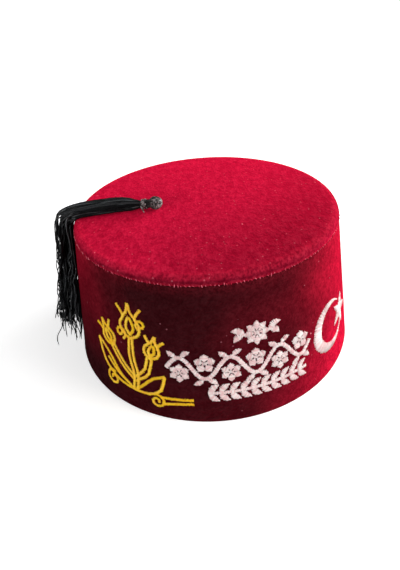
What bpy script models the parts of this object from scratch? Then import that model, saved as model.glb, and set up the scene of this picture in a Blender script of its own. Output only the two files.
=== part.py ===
"""A short fez: a flared velvet band, a flat velvet top turned down over its edge, and a black tassel.

Units are metres and +Z is up. The origin is on the ground, in the middle of the open rim, and -Y is
the front. The tassel is sewn to the top between its middle and its edge, and hangs over the edge on
the -X side.
"""

import math

import bmesh
import bpy
from mathutils import Matrix, Vector

MM = 0.001
CLEARANCE = 0.3 * MM  # between pieces that touch

# The crown, which is the band and the top
RIM_RADIUS = 92.0 * MM  # outside, where the hat goes on
TOP_RADIUS = 80.5 * MM  # outside, at the seam
CROWN_HEIGHT = 91.0 * MM
BAND_THICKNESS = 2.4 * MM  # velvet over stiff backing
TOP_THICKNESS = 2.4 * MM
TOP_RISE = 1.0 * MM  # how far the middle of the top stands above its edge
SHOULDER_RADIUS = 4.0 * MM  # where the top turns down over the edge
SEAM_ROLL = 0.8 * MM  # how the velvet rolls into the seam
HEM_ROLL = 0.7 * MM  # how the velvet rolls under the open rim
ROUND_STEPS = 96
TOP_RINGS = 3
SHOULDER_STEPS = 5
ROLL_STEPS = 3
SHARP_ANGLE = math.radians(40)  # edges sharper than this are not shaded smooth

# The tassel's head, neck and binding
TASSEL_BEARING = math.radians(184.5)  # seen from above, from +X
HEAD_DISTANCE = 30.2 * MM  # from the middle of the top to the middle of the head
HEAD_SWAY = 3.0 * MM  # how far the head lies to the front of that bearing
HEAD_RADIUS = 3.9 * MM
HEAD_LENGTH = 9.6 * MM
NECK_RADIUS = 2.1 * MM
NECK_LENGTH = 5.0 * MM  # beyond the head
HEAD_SEGMENTS = 16
HEAD_RINGS = 10
NECK_SIDES = 14
BINDING_THREAD = 0.8 * MM  # across the thread wound round the neck
BINDING_TURNS = 4
BINDING_PLACE = 0.55  # share of the free neck that is on the head's side of the binding
BINDING_SIDES = 20

# The tassel's skirt
SKIRT_WIDTH = 16.0 * MM
SKIRT_DEPTH = 15.5 * MM  # how far it stands off the band where it is fullest
LOCK_RADIUS = 2.3 * MM
LOCK_START = 0.8  # where a lock begins, as a share of the way from the head to the neck's end
LOCK_SEAT = 1.05  # how far a lock's middle lies above the velvet, as a share of its radius
LOCK_SIDES = 8
CORE_FILL = 0.72  # share of the skirt's width and depth that its inner threads fill
CORE_START = 0.6
CORE_REACH = 0.80  # share of the drop that they cover
CORE_TIP = 0.15  # their size at the lower end, as a share of their size above it
CORE_SIDES = 12
FLOOR_CLEARANCE = 4.5 * MM  # under the longest lock
RUN_STEPS = 5  # rings of a lock along the run over the top
BEND_STEPS = 5
DROP_STEPS = 7

# Sections of the skirt. stage and share say where: along the run over the top, round the bend, or
# down the drop. drift and width are shares of SKIRT_WIDTH, depth is a share of SKIRT_DEPTH, and girth
# one of LOCK_RADIUS.
SECTION_COLUMNS = ("stage", "share", "drift", "width", "depth", "girth")
SECTIONS = (
    ("run", 0.00, -0.06, 0.38, 0.40, 0.60),
    ("run", 0.30, 0.10, 0.76, 0.40, 0.88),
    ("run", 0.80, 0.12, 0.90, 0.36, 1.00),
    ("bend", 0.25, 0.03, 0.90, 0.44, 1.00),
    ("bend", 0.90, -0.04, 0.84, 0.66, 0.96),
    ("drop", 0.30, -0.05, 0.88, 0.76, 1.00),
    ("drop", 0.70, -0.08, 0.96, 0.92, 0.92),
    ("drop", 1.00, -0.10, 1.04, 1.10, 0.36),
)

# Locks of the skirt. side runs from -1 to 1 across it, lift from 0 on the velvet to 1 at its outside,
# reach is the share of the drop that the lock covers, and stray is how far its tip leaves its place,
# as a share of SKIRT_WIDTH.
LOCK_COLUMNS = ("side", "lift", "reach", "stray")
LOCKS = (
    (-0.95, 0.05, 0.97, -0.16),
    (-0.35, 0.00, 0.88, -0.03),
    (0.30, 0.00, 0.93, 0.05),
    (0.90, 0.08, 0.86, 0.12),
    (-0.70, 0.42, 0.90, -0.10),
    (-0.05, 0.40, 0.99, 0.00),
    (0.62, 0.44, 0.91, 0.07),
    (-1.00, 0.66, 0.84, -0.14),
    (1.00, 0.62, 0.95, 0.10),
    (-0.45, 0.82, 1.00, -0.08),
    (0.20, 0.80, 0.87, 0.02),
    (0.78, 0.92, 0.90, 0.08),
    (-0.12, 1.00, 0.93, -0.04),
)

SEAM_HEIGHT = CROWN_HEIGHT - SHOULDER_RADIUS - SEAM_ROLL - CLEARANCE / 2
FLAT_RADIUS = TOP_RADIUS - SHOULDER_RADIUS
BAND_SLOPE = math.atan2(RIM_RADIUS - TOP_RADIUS, SEAM_HEIGHT)  # from upright
STAGES = (("run", RUN_STEPS), ("bend", BEND_STEPS), ("drop", DROP_STEPS))


def material(name, colour, roughness):
    """A plain cloth or thread finish."""
    made = bpy.data.materials.new(name)
    made.use_nodes = True
    shader = made.node_tree.nodes["Principled BSDF"]
    shader.inputs["Base Color"].default_value = (*colour, 1.0)
    shader.inputs["Roughness"].default_value = roughness
    shader.inputs["Metallic"].default_value = 0.0
    return made


def place(name, mesh, finish, collection=None):
    """An object for the mesh, in the scene or in a collection of guides."""
    made = bpy.data.objects.new(name, mesh)
    mesh.materials.append(finish)
    mesh.shade_smooth()
    mesh.set_sharp_from_angle(angle=SHARP_ANGLE)
    (collection or bpy.context.scene.collection).objects.link(made)
    return made


def arc(centre, radius, start_deg, end_deg, steps):
    """Points (r, z) on an arc in the profile's plane, both ends included."""
    turns = [
        math.radians(start_deg + (end_deg - start_deg) * i / steps)
        for i in range(steps + 1)
    ]
    return [
        (centre[0] + radius * math.cos(a), centre[1] + radius * math.sin(a))
        for a in turns
    ]


def top_height(r):
    """Height of the top's velvet at radius r, inside the shoulder."""
    return CROWN_HEIGHT + TOP_RISE * (1 - min(r / FLAT_RADIUS, 1.0) ** 2)


def turned(name, profile, steps):
    """A mesh turned about Z from a profile of (r, z) points, closed either by itself or on the axis."""
    shape = bmesh.new()
    points = [shape.verts.new((r, 0, z)) for r, z in profile]
    edges = [shape.edges.new(pair) for pair in zip(points, points[1:])]
    if profile[0][0] > 0:
        edges.append(shape.edges.new((points[-1], points[0])))
    bmesh.ops.spin(
        shape,
        geom=points + edges,
        cent=(0, 0, 0),
        axis=(0, 0, 1),
        angle=2 * math.pi,
        steps=steps,
        use_merge=True,
    )
    bmesh.ops.remove_doubles(shape, verts=shape.verts, dist=1e-6)
    bmesh.ops.dissolve_degenerate(shape, edges=shape.edges, dist=1e-7)
    bmesh.ops.recalc_face_normals(shape, faces=shape.faces)
    mesh = bpy.data.meshes.new(name)
    shape.to_mesh(mesh)
    shape.free()
    return mesh


def band(finish):
    """The flared band, whose upper edge rolls into the seam and whose lower edge rolls under."""
    top = SEAM_HEIGHT - CLEARANCE / 2
    inner_rim = RIM_RADIUS - BAND_THICKNESS
    profile = [
        *arc((TOP_RADIUS - SEAM_ROLL, top - SEAM_ROLL), SEAM_ROLL, 90, 0, ROLL_STEPS),
        *arc((RIM_RADIUS - HEM_ROLL, HEM_ROLL), HEM_ROLL, 0, -90, ROLL_STEPS),
        *arc((inner_rim + HEM_ROLL, HEM_ROLL), HEM_ROLL, 270, 180, ROLL_STEPS),
        (TOP_RADIUS - BAND_THICKNESS, top),
    ]
    return place("side_band", turned("side_band", profile, ROUND_STEPS), finish)


def crown_top(finish):
    """The round top, a little domed, turned down over the shoulder and rolled into the seam."""
    foot = SEAM_HEIGHT + CLEARANCE / 2
    inner = TOP_RADIUS - TOP_THICKNESS
    rings = [FLAT_RADIUS * i / TOP_RINGS for i in range(TOP_RINGS)]
    shoulder = (FLAT_RADIUS, CROWN_HEIGHT - SHOULDER_RADIUS)
    roll = (TOP_RADIUS - SEAM_ROLL, foot + SEAM_ROLL)
    profile = [
        *[(r, top_height(r)) for r in rings],
        *arc(shoulder, SHOULDER_RADIUS, 90, 0, SHOULDER_STEPS),
        *arc(roll, SEAM_ROLL, 0, -90, ROLL_STEPS)[1:],
        (inner, foot),
        (inner, top_height(inner) - TOP_THICKNESS),
        *[(r, top_height(r) - TOP_THICKNESS) for r in reversed(rings)],
    ]
    return place("crown_top", turned("crown_top", profile, ROUND_STEPS), finish)


def table(columns, rows):
    """The rows of a table as dictionaries."""
    return [dict(zip(columns, row)) for row in rows]


def surface(stage, share, reach=1.0):
    """A point (r, z) on the crown's outside below the skirt, and the direction out of it there."""
    if stage == "run":
        start = HEAD_DISTANCE + HEAD_LENGTH / 2 + NECK_LENGTH
        r = start + (FLAT_RADIUS - start) * share
        return Vector((r, top_height(r))), Vector((0, 1))
    if stage == "bend":
        angle = math.pi / 2 + (BAND_SLOPE - math.pi / 2) * share
        out = Vector((math.cos(angle), math.sin(angle)))
        centre = Vector((FLAT_RADIUS, CROWN_HEIGHT - SHOULDER_RADIUS))
        return centre + out * SHOULDER_RADIUS, out
    out = Vector((math.cos(BAND_SLOPE), math.sin(BAND_SLOPE)))
    start, _ = surface("bend", 1.0)
    drop = (start.y - FLOOR_CLEARANCE) * share * reach
    return start + Vector((math.tan(BAND_SLOPE), -1)) * drop, out


def section_at(place_in_skirt):
    """The skirt's section at a place: 0 to 1 along the run, 1 to 2 round the bend, 2 to 3 down the drop."""
    order = [stage for stage, _ in STAGES]
    rows = table(SECTION_COLUMNS, SECTIONS)
    places = [order.index(row["stage"]) + row["share"] for row in rows]
    after = next((i for i, p in enumerate(places) if p >= place_in_skirt), len(rows) - 1)
    before = max(after - 1, 0)
    span = places[after] - places[before]
    t = (place_in_skirt - places[before]) / span if span else 0.0
    ease = t * t * (3 - 2 * t)
    return {
        column: rows[before][column] + (rows[after][column] - rows[before][column]) * ease
        for column in SECTION_COLUMNS[2:]
    }


def skirt_point(r, z, sideways):
    """A point in the tassel's upright plane, moved sideways."""
    out = Vector((math.cos(TASSEL_BEARING), math.sin(TASSEL_BEARING), 0))
    across = Vector((-out.y, out.x, 0))
    return out * r - across * sideways + Vector((0, 0, z))


def neck_place():
    """The middle of the head, and the far end of the neck."""
    first = section_at(0.0)
    low = top_height(HEAD_DISTANCE) + CLEARANCE + HEAD_RADIUS
    head = skirt_point(HEAD_DISTANCE, low, -HEAD_SWAY)
    end_r = HEAD_DISTANCE + HEAD_LENGTH / 2 + NECK_LENGTH
    end_z = top_height(end_r) + CLEARANCE + NECK_RADIUS + BINDING_THREAD
    end = skirt_point(end_r, end_z, first["drift"] * SKIRT_WIDTH)
    return head, end


def stations(reach):
    """Places down the skirt, each with its section, its share of the drop, and the crown's surface there."""
    for order, (stage, count) in enumerate(STAGES):
        for i in range(count):
            share = (i + 0.5) / count if stage == "bend" else (i + 1) / count
            fall = share if stage == "drop" else 0.0
            foot, out = surface(stage, share, reach)
            yield section_at(order + share), fall, foot, out


def lock_path(lock):
    """The points of a lock and its two radii at each, from inside the neck to the tip."""
    head, neck_end = neck_place()
    start = LOCK_RADIUS * section_at(0.0)["girth"]
    points = [head.lerp(neck_end, LOCK_START)]
    radii = [(start, start)]
    for section, fall, foot, out in stations(lock["reach"]):
        radius = LOCK_RADIUS * section["girth"]
        depth = max(SKIRT_DEPTH * section["depth"] - 2 * radius, 0.0)
        half = max(SKIRT_WIDTH * section["width"] / 2 - radius, 0.0)
        drift = SKIRT_WIDTH * (section["drift"] + lock["stray"] * fall**2)
        at = foot + out * (CLEARANCE + radius * LOCK_SEAT + depth * lock["lift"])
        points.append(skirt_point(at.x, at.y, drift + half * lock["side"]))
        radii.append((radius, radius))
    return points, radii


def core_path():
    """The points of the skirt's inner threads, with half their width and half their depth at each."""
    head, neck_end = neck_place()
    points = [head.lerp(neck_end, CORE_START)]
    radii = [(NECK_RADIUS * CORE_FILL, NECK_RADIUS * CORE_FILL)]
    for section, fall, foot, out in stations(CORE_REACH):
        taper = max(math.sqrt(1 - fall**4), CORE_TIP)
        half = SKIRT_WIDTH * section["width"] / 2 * CORE_FILL * taper
        thick = SKIRT_DEPTH * section["depth"] / 2 * CORE_FILL * taper
        at = foot + out * (CLEARANCE + SKIRT_DEPTH * section["depth"] / 2)
        points.append(skirt_point(at.x, at.y, SKIRT_WIDTH * section["drift"]))
        radii.append((half, thick))
    return points, radii


def tube(name, points, radii, sides):
    """A closed tube through the points. Each ring has a radius across the skirt and one out of it."""
    across = skirt_point(0, 0, -1)
    shape = bmesh.new()
    rings = []
    for i, point in enumerate(points):
        ahead = points[min(i + 1, len(points) - 1)] - points[max(i - 1, 0)]
        lift = ahead.cross(across).normalized()
        wide, thick = radii[i]
        turns = [2 * math.pi * k / sides for k in range(sides)]
        rings.append(
            [
                shape.verts.new(
                    point + across * wide * math.cos(a) + lift * thick * math.sin(a)
                )
                for a in turns
            ]
        )
    for low, high in zip(rings, rings[1:]):
        for k in range(sides):
            after = (k + 1) % sides
            shape.faces.new((low[k], low[after], high[after], high[k]))
    shape.faces.new(list(reversed(rings[0])))
    shape.faces.new(rings[-1])
    bmesh.ops.recalc_face_normals(shape, faces=shape.faces)
    mesh = bpy.data.meshes.new(name)
    shape.to_mesh(mesh)
    shape.free()
    return mesh


def without_pockets(made):
    """The object's evaluated mesh, without the small hollows that its fused locks close off."""
    seen = made.evaluated_get(bpy.context.evaluated_depsgraph_get())
    mesh = bpy.data.meshes.new_from_object(seen)
    shape = bmesh.new()
    shape.from_mesh(mesh)
    waiting = set(shape.verts)
    shells = []
    while waiting:
        shell = {waiting.pop()}
        edge_of_shell = list(shell)
        while edge_of_shell:
            vert = edge_of_shell.pop()
            near = {edge.other_vert(vert) for edge in vert.link_edges}
            new = near & waiting
            waiting.difference_update(new)
            shell.update(new)
            edge_of_shell.extend(new)
        shells.append(shell)
    outside = max(shells, key=len)
    pockets = [vert for shell in shells if shell is not outside for vert in shell]
    bmesh.ops.delete(shape, geom=pockets, context="VERTS")
    shape.to_mesh(mesh)
    shape.free()
    return mesh


def tassel(finish):
    """The head, the neck and the locks of the skirt, fused into one solid."""
    guides = bpy.data.collections.new("tassel_pieces")
    guides.hide_render = True
    bpy.context.scene.collection.children.link(guides)
    head, neck_end = neck_place()
    along = (neck_end - head).normalized()
    turn = along.to_track_quat("Z", "X").to_matrix().to_4x4()

    shape = bmesh.new()
    bmesh.ops.create_uvsphere(
        shape, u_segments=HEAD_SEGMENTS, v_segments=HEAD_RINGS, radius=HEAD_RADIUS
    )
    stretch = Matrix.Diagonal((1, 1, HEAD_LENGTH / (2 * HEAD_RADIUS), 1))
    bmesh.ops.transform(
        shape, matrix=Matrix.Translation(head) @ turn @ stretch, verts=shape.verts
    )
    mesh = bpy.data.meshes.new("tassel")
    shape.to_mesh(mesh)
    shape.free()
    made = place("tassel", mesh, finish)

    neck = [(NECK_RADIUS, NECK_RADIUS)] * 2
    parts = [tube("neck", [head, neck_end], neck, NECK_SIDES)]
    parts.append(tube("core", *core_path(), CORE_SIDES))
    for lock in table(LOCK_COLUMNS, LOCKS):
        parts.append(tube("lock", *lock_path(lock), LOCK_SIDES))
    for i, part in enumerate(parts):
        guide = place(f"tassel_piece_{i}", part, finish, guides)
        guide.hide_render = True
        guide.display_type = "WIRE"
    fuse = made.modifiers.new("fuse", "BOOLEAN")
    fuse.operation = "UNION"
    fuse.operand_type = "COLLECTION"
    fuse.collection = guides
    made.data = without_pockets(made)
    made.modifiers.clear()
    return made


def tassel_binding(finish):
    """The thread wound round the neck, as one ribbed ring."""
    head, neck_end = neck_place()
    along = (neck_end - head).normalized()
    turn = along.to_track_quat("Z", "X").to_matrix().to_4x4()
    inner = NECK_RADIUS + CLEARANCE
    thread = BINDING_THREAD / 2
    length = BINDING_TURNS * BINDING_THREAD
    start = HEAD_LENGTH / 2 + (NECK_LENGTH - length) * BINDING_PLACE
    ribs = []
    for i in range(BINDING_TURNS):
        middle = start + (i + 0.5) * BINDING_THREAD
        ribs += arc((inner + thread, middle), thread, -60, 60, 3)
    profile = [(inner, start), *ribs, (inner, start + length)]
    mesh = turned("tassel_binding", profile, BINDING_SIDES)
    mesh.transform(Matrix.Translation(head) @ turn)
    return place("tassel_binding", mesh, finish)


def main():
    for old in list(bpy.data.objects):
        bpy.data.objects.remove(old)
    band_velvet = material("band_velvet", (0.24, 0.006, 0.022), 0.9)
    top_velvet = material("top_velvet", (0.50, 0.008, 0.036), 0.9)
    black_thread = material("black_thread", (0.012, 0.013, 0.015), 0.55)
    band(band_velvet)
    crown_top(top_velvet)
    tassel(black_thread)
    tassel_binding(black_thread)


main()
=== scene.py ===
# %% [markdown]
# # A short velvet fez with a thread tassel
# The real hat is a flared band of crimson velvet over stiff backing, closed by a round flat top that is
# sewn to it. The front is embroidered in gold and white satin stitch, and a black thread tassel is sewn
# to the top and hangs over the edge. Here each of these is a piece of its own, made to the sizes of the
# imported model, and dressed in a cloth or thread finish that is built from nodes.

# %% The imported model
import math
import random

import bpy
import numpy as np
from mathutils import Matrix, Vector


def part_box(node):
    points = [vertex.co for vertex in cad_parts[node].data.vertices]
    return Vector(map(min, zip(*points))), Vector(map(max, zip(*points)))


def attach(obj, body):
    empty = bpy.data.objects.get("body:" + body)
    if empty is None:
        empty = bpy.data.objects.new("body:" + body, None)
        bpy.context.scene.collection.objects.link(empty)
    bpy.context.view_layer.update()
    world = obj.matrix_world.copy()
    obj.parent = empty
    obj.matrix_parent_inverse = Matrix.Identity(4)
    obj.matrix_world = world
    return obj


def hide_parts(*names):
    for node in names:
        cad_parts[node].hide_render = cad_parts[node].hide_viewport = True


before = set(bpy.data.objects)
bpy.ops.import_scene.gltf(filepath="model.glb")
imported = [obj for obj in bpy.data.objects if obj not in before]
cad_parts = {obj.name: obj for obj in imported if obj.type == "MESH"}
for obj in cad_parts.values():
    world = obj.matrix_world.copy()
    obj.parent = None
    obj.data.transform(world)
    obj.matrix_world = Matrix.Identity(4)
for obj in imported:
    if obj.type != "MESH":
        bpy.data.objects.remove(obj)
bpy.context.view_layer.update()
MM = 0.001

# %% [markdown]
# ## Sizes of the crown
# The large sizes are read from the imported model's own boxes, so the dressed hat can't drift from it. The
# band's box gives the rim's radius and the seam's height, and the top's box gives the radius at the seam.
# The small ones, such as how tightly the velvet rolls into the seam, are set here.

# %% Sizes of the crown
band_low, band_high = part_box("side_band")
top_low, top_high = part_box("crown_top")
RIM_RADIUS = band_high[0]
TOP_RADIUS = top_high[0]
SEAM_HEIGHT = (band_high[2] + top_low[2]) / 2
PILE_GAP = 0.1 * MM  # the velvet closes the seam's groove, so the band and the top nearly touch
TOP_RISE = 1.0 * MM
CROWN_HEIGHT = top_high[2] - TOP_RISE
SEAM_ROLL = 0.4 * MM
TURNED_EDGE = 0.95 * MM  # how far the top runs straight down between its shoulder and the seam
SHOULDER_RADIUS = CROWN_HEIGHT - SEAM_HEIGHT - TURNED_EDGE
FLAT_RADIUS = TOP_RADIUS - SHOULDER_RADIUS
HEM_ROLL = 0.7 * MM
THICKNESS = 2.4 * MM
SLOPE = math.atan2(RIM_RADIUS - TOP_RADIUS, SEAM_HEIGHT)
FRONT = math.radians(270)
sizes = {"rim": RIM_RADIUS, "top": TOP_RADIUS, "seam at": SEAM_HEIGHT, "height": CROWN_HEIGHT}
print("crown, mm:", {name: round(size / MM, 1) for name, size in sizes.items()})

# %% [markdown]
# ## The band's surface as a formula
# The embroidery, the seam's stitches and the tassel all lie on the band, so they need to know where it is.
# One function gives its radius anywhere: a straight flare, with a few slow waves of a third of a
# millimetre, because velvet glued over backing by hand is never quite round. A second one turns a place
# on the unrolled band (along it, up it, and out of it) into a point of the hat.

# %% The band's surface
WAVE_DEPTH = 0.35 * MM
WAVES = (  # how many go round, how many go up, phase, share of the depth
    (3, 0.7, 0.4, 0.50),
    (5, 1.3, 2.1, 0.30),
    (8, 0.4, 4.0, 0.20),
)


def band_radius(bearing, height):
    """Outside radius of the band, waves included."""
    share = height / SEAM_HEIGHT
    radius = RIM_RADIUS + (TOP_RADIUS - RIM_RADIUS) * share
    fade = np.clip(4 * share * (1 - share), 0, 1)
    for around, up, phase, part in WAVES:
        radius = radius + WAVE_DEPTH * part * fade * np.sin(around * bearing + up * share * 6 + phase)
    return radius


UNROLL_RADIUS = 87.0 * MM  # about the band's radius at half its height


def on_band(along, up, out=0.0):
    """Points of the hat for places on the unrolled band: along it from the front, up it, and out of it."""
    bearing = FRONT + np.asarray(along) / UNROLL_RADIUS
    radius = band_radius(bearing, up) + out * math.cos(SLOPE)
    height = up + out * math.sin(SLOPE)
    return np.stack([radius * np.cos(bearing), radius * np.sin(bearing), height + 0 * radius], axis=-1)


print("front of the band at mid height:", on_band(0.0, SEAM_HEIGHT / 2).round(4))

# %% [markdown]
# ## Node trees as expressions
# A finish is mostly arithmetic on patterns, and arithmetic is easier to read as Python than as a list of
# nodes. The small class below wraps a socket, and turns each operator into a Math or Mix node.

# %% The shader helper


class Finish:
    """A material under construction."""

    def __init__(self, name):
        self.material = bpy.data.materials.new(name)
        self.material.use_nodes = True
        self.tree = self.material.node_tree
        self.shader = self.tree.nodes["Principled BSDF"]
        self.place = Value(self, self.node("ShaderNodeTexCoord").outputs["Object"])

    def node(self, kind, settings=None, **sockets):
        """A node of any kind: its settings first, then the values and links of its sockets."""
        made = self.tree.nodes.new(kind)
        for key, value in (settings or {}).items():
            setattr(made, key, value)
        for key, value in sockets.items():
            self.join(value, made.inputs[int(key[1:]) if key[0] == "_" else key.replace("_", " ")])
        return made

    def join(self, value, socket):
        if isinstance(value, Value):
            self.tree.links.new(value.socket, socket)
        else:
            socket.default_value = value

    def maths(self, operation, *values):
        made = self.node("ShaderNodeMath", {"operation": operation})
        for value, socket in zip(values, made.inputs):
            self.join(value, socket)
        return Value(self, made.outputs[0])

    def noise(self, scale, detail=2.0, roughness=0.5, place=None):
        sockets = {"Scale": scale, "Detail": detail, "Roughness": roughness}
        made = self.node("ShaderNodeTexNoise", Vector=place or self.place, **sockets)
        return Value(self, made.outputs["Fac"])

    def stretch(self, scale):
        """The place, scaled by a vector, so that a pattern on it is longer one way."""
        made = self.node("ShaderNodeVectorMath", {"operation": "MULTIPLY"}, _0=self.place, _1=scale)
        return Value(self, made.outputs[0])

    def attribute(self, name):
        made = self.node("ShaderNodeAttribute", {"attribute_name": name})
        return Value(self, made.outputs["Fac"])

    def mix(self, factor, first, second):
        """A colour between two."""
        made = self.node("ShaderNodeMix", {"data_type": "RGBA", "clamp_factor": True})
        self.join(factor, made.inputs["Factor"])
        for value, socket in ((first, made.inputs[6]), (second, made.inputs[7])):
            self.join((*value, 1.0) if isinstance(value, tuple) else value, socket)
        return Value(self, made.outputs[2])

    def tint(self, colour, factor):
        """A colour made darker or lighter by a number."""
        made = self.node("ShaderNodeVectorMath", {"operation": "SCALE"}, _0=colour, Scale=factor)
        return Value(self, made.outputs[0])

    def bump(self, height, distance, strength=1.0):
        made = self.node("ShaderNodeBump", Height=height, Distance=distance, Strength=strength)
        self.tree.links.new(made.outputs[0], self.shader.inputs["Normal"])

    def lose_sheen(self, share, colour):
        """Mixes in a second shader of the same colour that has no sheen, by a share from 0 to 1."""
        sockets = {"Base_Color": colour, "Roughness": 0.9, "Specular_IOR_Level": 0.0}
        flat = self.node("ShaderNodeBsdfPrincipled", **sockets)
        both = self.node("ShaderNodeMixShader", _0=share)
        surface = self.tree.nodes["Material Output"].inputs["Surface"]
        for start, end in ((self.shader, both.inputs[1]), (flat, both.inputs[2]), (both, surface)):
            self.tree.links.new(start.outputs[0], end)

    def set(self, **sockets):
        """Values or links for the shader's own sockets."""
        for key, value in sockets.items():
            self.join(value, self.shader.inputs[key.replace("_", " ")])


class Value:
    """A socket whose operators add Math nodes."""

    def __init__(self, finish, socket):
        self.finish = finish
        self.socket = socket

    def __add__(self, other):
        return self.finish.maths("ADD", self, other)

    def __sub__(self, other):
        return self.finish.maths("SUBTRACT", self, other)

    def __mul__(self, other):
        return self.finish.maths("MULTIPLY", self, other)

    def __rsub__(self, other):
        return self.finish.maths("SUBTRACT", other, self)

    def __gt__(self, other):
        return self.finish.maths("GREATER_THAN", self, other)

    def __lt__(self, other):
        return self.finish.maths("LESS_THAN", self, other)

    __radd__ = __add__
    __rmul__ = __mul__

    def between(self, low, high):
        """0 below low, 1 above high, smooth between."""
        made = self.finish.node("ShaderNodeMapRange", {"interpolation_type": "SMOOTHSTEP"})
        for value, socket in zip((self, low, high, 0.0, 1.0), made.inputs):
            self.finish.join(value, socket)
        return Value(self.finish, made.outputs[0])


# %% [markdown]
# ## Velvet
# Velvet is a dense pile of short upright threads. Seen from straight on it swallows light, and at a
# glancing angle the sides of the threads light up: that rim is the shader's sheen, with a crimson tint.
# The pile leans this way and that, so the colour is mottled in grains of one to a few millimetres, and in
# cloudy patches some centimetres across. Where the hat is lit a paler colour takes over as painted light,
# and where it lies in shade the sheen goes, as painted shade. A little pale lint always clings to it.

# %% The velvet finishes
LINT = (0.85, 0.28, 0.35)
# paler red: the top's painted fold highlight, and the paler velvet near the seam
PALE_RED = (0.85, 0.024, 0.066)
PILE_SHEEN = (1.0, 0.009, 0.056, 1.0)
GRAINS, CLUMPS, PATCHES, CLOUDS = 720.0, 260.0, 60.0, 15.0  # noise scales, about how many per metre
SMALL_LINT, LARGE_LINT = 330.0, 150.0


def specks(made, scale, size, share):
    """Small round specks, 0 or 1: one in a share of the cells of a grid."""
    cells = made.node("ShaderNodeTexVoronoi", {"feature": "F1"}, Vector=made.place, Scale=scale)
    parts = made.node("ShaderNodeSeparateColor", Color=Value(made, cells.outputs["Color"]))
    return (Value(made, cells.outputs["Distance"]) < size) * (Value(made, parts.outputs[0]) > 1.0 - share)


def velvet(name, dark, light, sheen, lint_share, cloudy, painted_light, pale_share, painted_shade=None, grain_scale=(1, 1, 1)):
    """A velvet between two colours. Three functions of the finish give shares from 0 to 1: painted light,
    how far the paler colour takes over; how much paler red is mixed in, which on the top's fold is a painted
    highlight; and painted shade, how much of the sheen is lost. cloudy is how much the large patches differ,
    and grain_scale draws the mottling out along one axis."""
    made = Finish(name)
    place = made.stretch(grain_scale)
    grain = made.noise(GRAINS, 2.0, 0.7, place).between(0.34, 0.66)
    clumps = made.noise(CLUMPS, 2.0, 0.6, place).between(0.30, 0.70)
    patches = made.noise(PATCHES, 3.0, 0.6, place)
    clouds = made.noise(CLOUDS)
    tone = 0.13 + grain * 0.48 + clumps * 0.46 + patches * 0.84
    # painted light: the mask moves the pile from its dark colour to its paler one where the hat is lit
    pile = made.tint(made.mix(painted_light(made) + (clouds - 0.5) * cloudy, dark, light), tone)
    lint = specks(made, LARGE_LINT, 0.08, lint_share) * 0.8
    lint = lint + specks(made, SMALL_LINT, 0.15, lint_share * 4.0) * 0.22
    frost = grain * clumps * lint_share * 0.4
    # paler red mixed in: a painted highlight on the top's fold, and paler near the seam
    paled = made.mix(pale_share(made) * (0.3 + grain), pile, PALE_RED)
    colour = made.mix(lint + frost, paled, LINT)
    made.set(Base_Color=colour, Roughness=0.9)
    # painted shade: a copy of the shader without sheen takes over where the mask says
    if painted_shade:
        made.lose_sheen(painted_shade(made), colour)
    made.set(Specular_IOR_Level=0.0, Sheen_Weight=sheen, Sheen_Roughness=0.5, Sheen_Tint=PILE_SHEEN)
    made.bump(grain * 0.5 + clumps * 0.8 + patches, 0.35 * MM, 0.45)
    return made.material


def axes(made):
    """The place's x, y and z as three numbers."""
    parts = made.node("ShaderNodeSeparateXYZ", Vector=made.place).outputs
    return [Value(made, parts[i]) for i in range(3)]


LIT_PATCH_LEAN = 3.7  # radians per metre: how far the painted light patch on the right leans back on its way up
LIT_PATCH_WAIST = 0.18  # radians: how far its edge draws back at half height


def bearing_within(bearing, rise, fall):
    """0 to 1 over the degrees of rise, 1 after them, and back to 0 over the degrees of fall."""
    up = bearing.between(*np.radians(rise).tolist())
    return up * (1 - bearing.between(*np.radians(fall).tolist()))


def round_place(made):
    """The bearing from the front, positive to the right, and the height."""
    x, y, z = axes(made)
    return made.maths("ARCTAN2", x, y * -1.0), z


def painted_light_round(made):
    """Painted light on the band: it is lighter from the right of the front to the back, most of all low
    down, and a little lighter again high up on the left."""
    bearing, z = round_place(made)
    waist = z.between(20 * MM, 40 * MM) * (1 - z.between(45 * MM, 72 * MM))
    right = (bearing - z * LIT_PATCH_LEAN - waist * LIT_PATCH_WAIST).between(math.radians(5), math.radians(58))
    right = right * (1 - bearing.between(math.radians(90), math.radians(175)))
    left = bearing_within(bearing * -1.0, (25, 75), (95, 160)) * z.between(30 * MM, SEAM_HEIGHT)
    return right * 0.92 + left * 0.34


def painted_shade_low(made):
    """Painted shade low down on the band's left: the sheen goes there, so it stays dark at a glancing angle
    too.
    """
    bearing, z = round_place(made)
    left = bearing_within(bearing * -1.0, (30, 50), (95, 160))
    return left * (1 - z.between(10 * MM, 36 * MM)) * 0.85


def painted_light_back(made):
    """Painted light on the top: lighter towards the back left. Down the shoulder the band's painted light
    and shade take over.
    """
    x, y, z = axes(made)
    flat = z.between(SEAM_HEIGHT + 1.8 * MM, CROWN_HEIGHT + 0.2 * MM)
    return (y * 0.55 - x * 0.83).between(-80 * MM, 12 * MM) * flat + painted_light_round(made) * (1 - flat)


def fold_highlight_seam_pale(made):
    """Painted highlight along the crest where the top folds down; the top is also paler just above the seam.
    """
    x, y, z = axes(made)
    radius = made.maths("SQRT", x * x + y * y)
    fold = radius.between(FLAT_RADIUS - 3 * MM, FLAT_RADIUS + MM)
    fold = fold * z.between(CROWN_HEIGHT - 3 * MM, CROWN_HEIGHT - MM)
    return fold * 0.20 + (1 - z.between(SEAM_HEIGHT + 0.6 * MM, SEAM_HEIGHT + 2.4 * MM)) * 0.22


def paler_to_seam(made):
    """The band is a little paler towards the seam."""
    return axes(made)[2].between(SEAM_HEIGHT - 8 * MM, SEAM_HEIGHT - 0.2 * MM) * 0.045


# The top and the band are one velvet in two copies: the top's paler colours are painted light, and the
# band's near-black one is painted shade.
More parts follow.
